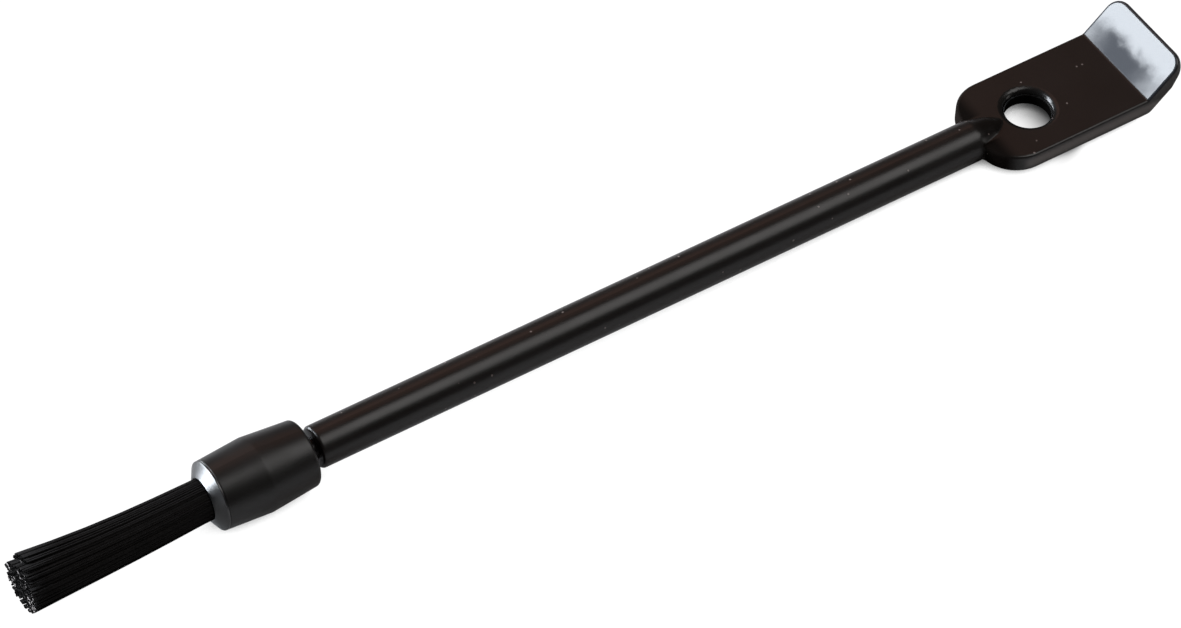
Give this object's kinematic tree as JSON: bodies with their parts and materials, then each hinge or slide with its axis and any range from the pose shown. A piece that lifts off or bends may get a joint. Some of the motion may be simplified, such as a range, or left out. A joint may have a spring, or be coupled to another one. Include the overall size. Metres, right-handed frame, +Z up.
{
  "type": "crevice brush",
  "caption": "Slim cleaning brush with a round bristle tuft, a pull-off head, a rod handle, and a paddle end with a hanging hole and a bent scraper blade.",
  "frame": {"origin": "centre of the bounding box, at the height of the collar's lowest point", "axes": "+X along the tool from the bristles to the scraper, +Z up out of the paddle's face, the side the blade bends to"},
  "size_m": [0.1799, 0.0154, 0.0116],
  "materials": {
    "handle_plastic": "satin black moulded plastic",
    "collar_plastic": "satin black moulded plastic",
    "ferrule_plastic": "polished black plastic",
    "bristle_filament": "black nylon filament with pale cut ends",
    "set_glue": "set resin, hidden"
  },
  "bodies": {
    "handle": {"handle": "handle_plastic"},
    "head": {"collar": "collar_plastic", "ferrule": "ferrule_plastic", "bristle_tuft": "bristle_filament", "glue_plug": "set_glue"}
  },
  "joints": [
    {"name": "head_pull", "type": "slide", "parent": "handle", "child": "head", "axis": [-1, 0, 0], "range_m": [0, 0.0064]}
  ]
}
